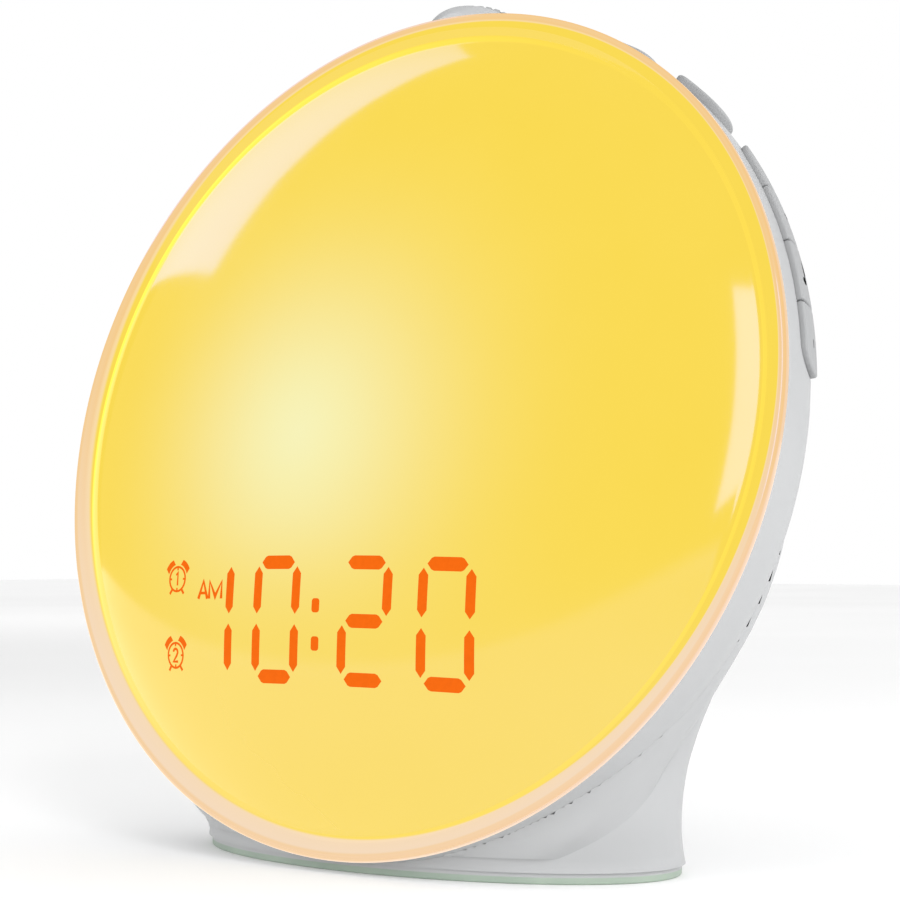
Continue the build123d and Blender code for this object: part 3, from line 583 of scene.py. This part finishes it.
note = stroke([(0.55, -1.5), (0.55, 1.6)], 0.42) + [arc(0.0, -1.65, 0.78, 0, 330, 11, 0.6)]
note += [[(0.4, 1.9), (0.4, 0.9), (0.9, 0.35), (1.35, -0.35), (1.45, 0.15), (1.1, 0.95), (0.72, 1.35)]]
note = [[(x * 1.25, y * 1.25) for x, y in q] for q in note]
put("mark_note", solid_flat(note, on_key(71.3, 11.0), 0.035, 0.8), ink, "side_key_right_3", "readout_black")
put("mark_minus", solid_flat([pill(0, 0, 0.38, 1.7, 0.16)], on_key(80.7, 11.4), 0.035, 0.8), soft_ink, "side_key_right_4", "readout_black")
put("mark_plus", solid_flat([pill(0, 0, 0.36, 1.7, 0.15), pill(0, 0, 1.7, 0.36, 0.15)], on_key(63.3, 11.4), 0.035, 0.8), soft_ink, "side_key_right_2", "readout_black")


# ------------------------------------------------------------------ soft blend of bowl into neck
NECK = np.array([(2.2, 57.1, 29.4, 0.0), (7, 57.4, 29.4, -1.8), (13, 58.7, 29.6, -4.0), (21, 60.1, 29.8, -4.2), (30, 63.3, 30.2, -4.1),
                 (40, 68.4, 30.5, -4.1), (50, 74.4, 30.8, -4.6), (60, 79.0, 30.8, -5.2), (71, 82, 30, -6.6), (82, 83, 28.6, -8.4)])


def spline(x, y):
    n = len(x)
    A, b = np.zeros((n, n)), np.zeros(n)
    h = np.diff(x)
    A[0, 0] = A[-1, -1] = 1
    for i in range(1, n - 1):
        A[i, i - 1], A[i, i], A[i, i + 1] = h[i - 1], 2 * (h[i - 1] + h[i]), h[i]
        b[i] = 6 * ((y[i + 1] - y[i]) / h[i] - (y[i] - y[i - 1]) / h[i - 1])
    M = np.linalg.solve(A, b)

    def f(q):
        q = np.clip(q, x[0], x[-1])
        i = np.clip(np.searchsorted(x, q) - 1, 0, n - 2)
        t0, t1, hh = q - x[i], x[i + 1] - q, h[i]
        return (M[i] * t1 ** 3 + M[i + 1] * t0 ** 3) / (6 * hh) + (y[i] / hh - M[i] * hh / 6) * t1 + (y[i + 1] / hh - M[i + 1] * hh / 6) * t0
    return f


fa, fb, fc = (spline(NECK[:, 0], NECK[:, k]) for k in (1, 2, 3))
outv, upv, c0v = np.array(OUT), np.array(UP), np.array(C0)


def bowl_d(p):
    q = p - c0v
    d = np.maximum(-(q @ outv) - 8.0, 0)
    r2 = q[..., 0] ** 2 + (q @ upv) ** 2
    m = np.sqrt(r2 / 88.6 ** 2 + d ** 2 / 36.0 ** 2)
    g = np.sqrt(r2 / 88.6 ** 4 + d ** 2 / 36.0 ** 4) / m
    return (m - 1) / g


def neck_d(p):
    z = p[..., 2]
    a, b, c = fa(z), fb(z), fc(z)
    x, y = p[..., 0], p[..., 1] - c
    m = np.sqrt((x / a) ** 2 + (y / b) ** 2)
    g = np.sqrt(x ** 2 / a ** 4 + y ** 2 / b ** 4) / m
    return (m - 1) / g


def surface(org, dirs, K, sink=0.35):
    """Outermost points of the two forms joined with a blend of size K, and how far each is in the blend."""
    lo, hi = np.full_like(K, 15.0), np.full_like(K, 120.0)
    for _ in range(40):
        mid = (lo + hi) / 2
        p = org + dirs * mid[..., None]
        A, B = bowl_d(p), neck_d(p)
        q = np.clip((-((p - c0v) @ outv) - 3.0) / 10.0, 0, 1)
        k = K * q * q * (3 - 2 * q)
        h = np.maximum(k - np.abs(A - B), 0) / np.maximum(k, 1e-6)
        f = np.minimum(A, B) - h * h * k / 4 + sink * (1 - h) ** 2
        inside = f < 0
        lo, hi = np.where(inside, mid, lo), np.where(inside, hi, mid)
    return org + dirs * ((lo + hi) / 2)[..., None], h, A - B


def grad(fn, p):
    e = 0.3
    g = np.stack([fn(p + e * v) - fn(p - e * v) for v in np.eye(3)], -1)
    return g / np.linalg.norm(g, axis=-1, keepdims=True)


zs = np.arange(5.0, 96.01, 0.7)
turn = np.arange(-140.0, 140.01, 1.0)          # from the back, +Y
th = np.radians(turn) + pi / 2
Z, T = np.meshgrid(zs, th, indexing="ij")
dirs = np.stack([np.cos(T), np.sin(T), np.zeros_like(T)], -1)
org = np.stack([np.zeros_like(Z), np.full_like(Z, -12.0), Z], -1)
base, _h, D = surface(org, dirs, np.zeros_like(Z), 0.0)
zc, beta = np.zeros(len(th)), np.zeros(len(th))
for j in range(len(th)):
    i = max([k for k in range(len(zs)) if D[k, j] > 0 and zs[k] < 80] or [0])
    zc[j] = zs[i]
    n1, n2 = grad(bowl_d, base[i, j]), grad(neck_d, base[i, j])
    beta[j] = math.acos(max(-1.0, min(1.0, float(n1 @ n2))))
for _ in range(6):
    zc[1:-1] = (zc[:-2] + 2 * zc[1:-1] + zc[2:]) / 4
    beta[1:-1] = (beta[:-2] + 2 * beta[1:-1] + beta[2:]) / 4
reach = np.interp(np.abs(turn), [0, 45, 60, 90, 110, 140], [13.0, 12.0, 11.0, 14.0, 14.0, 11.0])
w = np.clip(1 - ((zs[:, None] - zc) / (1.9 * reach)) ** 2, 0, 1) ** 2
K = np.minimum(reach * beta, 13.0) * w
pts, H, _d = surface(org, dirs, K)
# laid on the shell's own mesh: the blend's rise is added to where the shell really is
shell = nodes["rear_housing"]
tree = BVHTree.FromObject(shell, bpy.context.evaluated_depsgraph_get())
inv = shell.matrix_world.inverted()
for i in range(len(zs)):
    for j in range(len(th)):
        if H[i, j] > 0 and K[i, j] > 0.02:
            a = inv @ (Vector(org[i, j] + dirs[i, j] * 140.0) * MM)
            b = inv @ (Vector(org[i, j]) * MM)
            at = tree.ray_cast(a, (b - a).normalized())[0]
            if at is None:
                continue
            r_cad = (Vector((shell.matrix_world @ at) / MM) - Vector(org[i, j])).length
            r_base = float(np.linalg.norm(base[i, j] - org[i, j]))
            if abs(r_cad - r_base) < 1.2:
                pts[i, j] += dirs[i, j] * (r_cad - r_base)
depth = -((pts - c0v) @ outv)
bm = bmesh.new()
grid = {}
for i in range(len(zs)):
    for j in range(len(th)):
        if H[i, j] > 0.0 and K[i, j] > 0.35 and depth[i, j] > 3.2 and depth[i, j] > -2 and not (pts[i, j, 1] > 0 and pts[i, j, 2] < 57.6 and abs(pts[i, j, 0]) < 20):
            grid[i, j] = bm.verts.new(Vector(pts[i, j]) * MM)
for i in range(len(zs) - 1):
    for j in range(len(th) - 1):
        q = [(i, j), (i, j + 1), (i + 1, j + 1), (i + 1, j)]
        if all(k in grid for k in q):
            bm.faces.new([grid[k] for k in q])
bmesh.ops.bisect_plane(bm, geom=bm.verts[:] + bm.edges[:] + bm.faces[:], plane_co=P(0, 0, -2.35), plane_no=tuple(OUT), clear_outer=True)
bmesh.ops.delete(bm, geom=[v for v in bm.verts if not v.link_faces], context="VERTS")
bmesh.ops.recalc_face_normals(bm, faces=bm.faces)
if bm.faces:
    f = max(bm.faces, key=lambda q: q.calc_center_median().y)
    if f.normal.y < 0:
        bmesh.ops.reverse_faces(bm, faces=bm.faces[:])
blend = put("neck_blend", bm, mats["housing"], "clock", "housing", 60)

# ------------------------------------------------------------------ snooze button, its ribs carried over the edge
ax = UP * cos(radians(28.0)) - OUT * sin(radians(28.0))
e2 = ax.cross(RT)
s0 = C0 + UP * 89.4 - OUT * 18.3
rc = (10.9 ** 2 + 0.9 ** 2) / 1.8
prof = [(r, sqrt(rc * rc - r * r) - rc + 0.9, max(0.0, min(1.0, (r - 7.0) / 3.0))) for r in (0.0, 2.5, 5.0, 7.0, 8.0, 9.0, 10.0, 10.9)]
cx, cy = 10.85, -1.149
prof += [(cx + 1.15 * sin(a), cy + 1.15 * cos(a), 1.0) for a in np.linspace(0.25, 1.33, 6)]
prof += [(12.0, -0.9, 1.0), (12.0, -2.2, 1.0), (12.0, -4.4, 1.0), (12.0, -6.5, 1.0), (11.9, -6.6, 1.0), (11.0, -6.6, 0.0), (3.2, -6.6, 0.0), (3.2, -9.4, 0.0), (3.1, -9.5, 0.0), (0.0, -9.5, 0.0)]
M = 38 * 12
bm = bmesh.new()
rings = []
for r, z, k in prof:
    if r < 1e-6:
        rings.append([bm.verts.new((s0 + ax * z) * MM)])
        continue
    row = []
    for i in range(M):
        t = 2 * pi * i / M
        c = cos(38 * (t - radians(4.7)))
        g = max(0.0, min(1.0, (c - 0.05) / 0.85))
        g = 0.38 * k * g * g * (3 - 2 * g)
        q = r - g * (1.0 if z < -0.5 else 0.25)
        row.append(bm.verts.new((s0 + ax * (z - (g * 0.9 if z > -0.5 else 0.0)) + (RT * cos(t) + e2 * sin(t)) * q) * MM))
    rings.append(row)
for a, b in zip(rings, rings[1:]):
    for i in range(M):
        j = (i + 1) % M
        if len(a) == 1:
            bm.faces.new((a[0], b[i], b[j]))
        elif len(b) == 1:
            bm.faces.new((a[j], a[i], b[0]))
        else:
            bm.faces.new((a[i], b[i], b[j], a[j]))
bmesh.ops.recalc_face_normals(bm, faces=bm.faces)
cap = put("snooze_cap", bm, mats["keys"], "snooze_button", "keys", 50)
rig.replaces(cap, "snooze_button")

# ------------------------------------------------------------------ floor and light
bm = bmesh.new()
bmesh.ops.create_grid(bm, x_segments=8, y_segments=8, size=4.0)
m = Nodes("floor")
v = m.noise(3, 2)
m.link(m.mix(m.span(v, 0.3, 0.7, 0, 1), (0.90, 0.90, 0.90, 1), (0.92, 0.92, 0.92, 1)), m.b.inputs["Base Color"])
m.link(m.span(v, 0.3, 0.7, 0.75, 0.85), m.b.inputs["Roughness"])
m.b.inputs["Specular IOR Level"].default_value = 0.1
m.b.inputs["Emission Color"].default_value = (1, 1, 1, 1)
m.b.inputs["Emission Strength"].default_value = 0.07
floor = put("floor", bm, m.mat, None)
floor.location.z = -0.00002
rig.stage(floor)

world = bpy.data.worlds.new("world")
scene.world = world
world.use_nodes = True
world.node_tree.nodes["Background"].inputs[0].default_value = (1.0, 1.0, 1.0, 1)
world.node_tree.nodes["Background"].inputs[1].default_value = 1.0
# the room behind the softboxes is dim, so that gloss shows the softboxes and the floor
wt = world.node_tree
dim = wt.nodes.new("ShaderNodeBackground")
dim.inputs[0].default_value = (1, 1, 1, 1)
dim.inputs[1].default_value = 0.10
pick, path = wt.nodes.new("ShaderNodeMixShader"), wt.nodes.new("ShaderNodeLightPath")
wt.links.new(path.outputs["Is Glossy Ray"], pick.inputs[0])
wt.links.new(wt.nodes["Background"].outputs[0], pick.inputs[1])
wt.links.new(dim.outputs[0], pick.inputs[2])
wt.links.new(pick.outputs[0], wt.nodes["World Output"].inputs[0])


def panel(name, corners, power, tint=(1.0, 1.0, 1.0, 1.0), only=(), fade=None):
    """Softbox with these corners, in metres; only lists the pieces that it lights, fade its power from front to back."""
    bm = bmesh.new()
    vs = [bm.verts.new(c) for c in corners]
    f = bm.faces.new(vs)
    me = bpy.data.meshes.new(name)
    bm.to_mesh(me)
    bm.free()
    mt = bpy.data.materials.new(name)
    mt.use_nodes = True
    t = mt.node_tree
    t.nodes.clear()
    e, o = t.nodes.new("ShaderNodeEmission"), t.nodes.new("ShaderNodeOutputMaterial")
    e.inputs[0].default_value = tint
    e.inputs[1].default_value = power
    t.links.new(e.outputs[0], o.inputs[0])
    if fade:
        q, xyz = t.nodes.new("ShaderNodeTexCoord"), t.nodes.new("ShaderNodeSeparateXYZ")
        at, cr = t.nodes.new("ShaderNodeMapRange"), t.nodes.new("ShaderNodeValToRGB")
        at.inputs[1].default_value, at.inputs[2].default_value = fade[0][0], fade[-1][0]
        while len(cr.color_ramp.elements) < len(fade):
            cr.color_ramp.elements.new(0.5)
        for k, (y, v) in enumerate(fade):
            cr.color_ramp.elements[k].position = (y - fade[0][0]) / (fade[-1][0] - fade[0][0])
            cr.color_ramp.elements[k].color = (v, v, v, 1)
        mul = t.nodes.new("ShaderNodeMath")
        mul.operation = "MULTIPLY"
        mul.inputs[1].default_value = power
        t.links.new(q.outputs["Object"], xyz.inputs[0])
        t.links.new(xyz.outputs[1], at.inputs[0])
        t.links.new(at.outputs[0], cr.inputs[0])
        t.links.new(cr.outputs[0], mul.inputs[0])
        t.links.new(mul.outputs[0], e.inputs[1])
    me.materials.append(mt)
    ob = bpy.data.objects.new(name, me)
    scene.collection.objects.link(ob)
    ob.visible_camera = False
    if only:
        group = bpy.data.collections.new(name + "_on")
        for piece in only:
            group.objects.link(piece)
        ob.light_linking.receiver_collection = group
    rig.stage(ob)
    return ob


panel("softbox_left", [
    (-1.143, -0.353, 0.734), (-1.082, -0.309, 0.850), (-0.985, -0.236, 0.995), (-0.836, -0.107, 1.156), (-0.640, 0.085, 1.288),
    (-0.724, 0.665, 1.028), (-0.870, 0.930, 0.600), (-1.100, 0.677, 0.500), (-1.218, 0.474, 0.494)], 6.0, (0.12, 0.36, 1.0, 1.0), (lens,),
    [(-0.36, 1.0), (-0.10, 0.75), (0.05, 0.58), (0.24, 0.38), (0.39, 0.26), (0.50, 0.195), (0.62, 0.155), (0.73, 0.12), (0.95, 0.09)])
panel("softbox_right", [
    (0.696, -0.693, 1.031), (0.790, -0.836, 0.815), (0.850, -0.954, 0.558), (0.858, -1.055, 0.191),
    (1.087, -0.818, 0.278), (1.089, -0.761, 0.437), (1.010, -0.603, 0.795), (0.906, -0.459, 1.010)], 9.0)
shell_pieces = [nodes[k] for k in nodes if slot_of[k] in ("housing", "keys", "pad") and k != "snooze_button"] + [cap, blend]
panel("white_back", [(-3.2, 0.6, -0.02), (0.9, 3.2, -0.02), (0.9, 3.2, 2.2), (-3.2, 0.6, 2.2)], 0.9, (1.0, 1.0, 1.0, 1.0), shell_pieces).visible_diffuse = False
# fills that only shade: one low in front, one behind on the right
panel("fill_front", [(-1.5, -1.1, 0.05), (-0.2, -1.6, 0.05), (-0.2, -1.6, 0.75), (-1.5, -1.1, 0.75)], 3.0).visible_glossy = False
panel("fill_back", [(1.25, 0.25, 0.02), (0.95, 1.15, 0.02), (0.95, 1.15, 0.75), (1.25, 0.25, 0.75)], 3.2).visible_glossy = False

lo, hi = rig.bounds()
with open("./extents.json", "w") as fh:
    json.dump({"cad": [list(cad_lo), list(cad_hi)], "visual": [list(lo), list(hi)]}, fh)
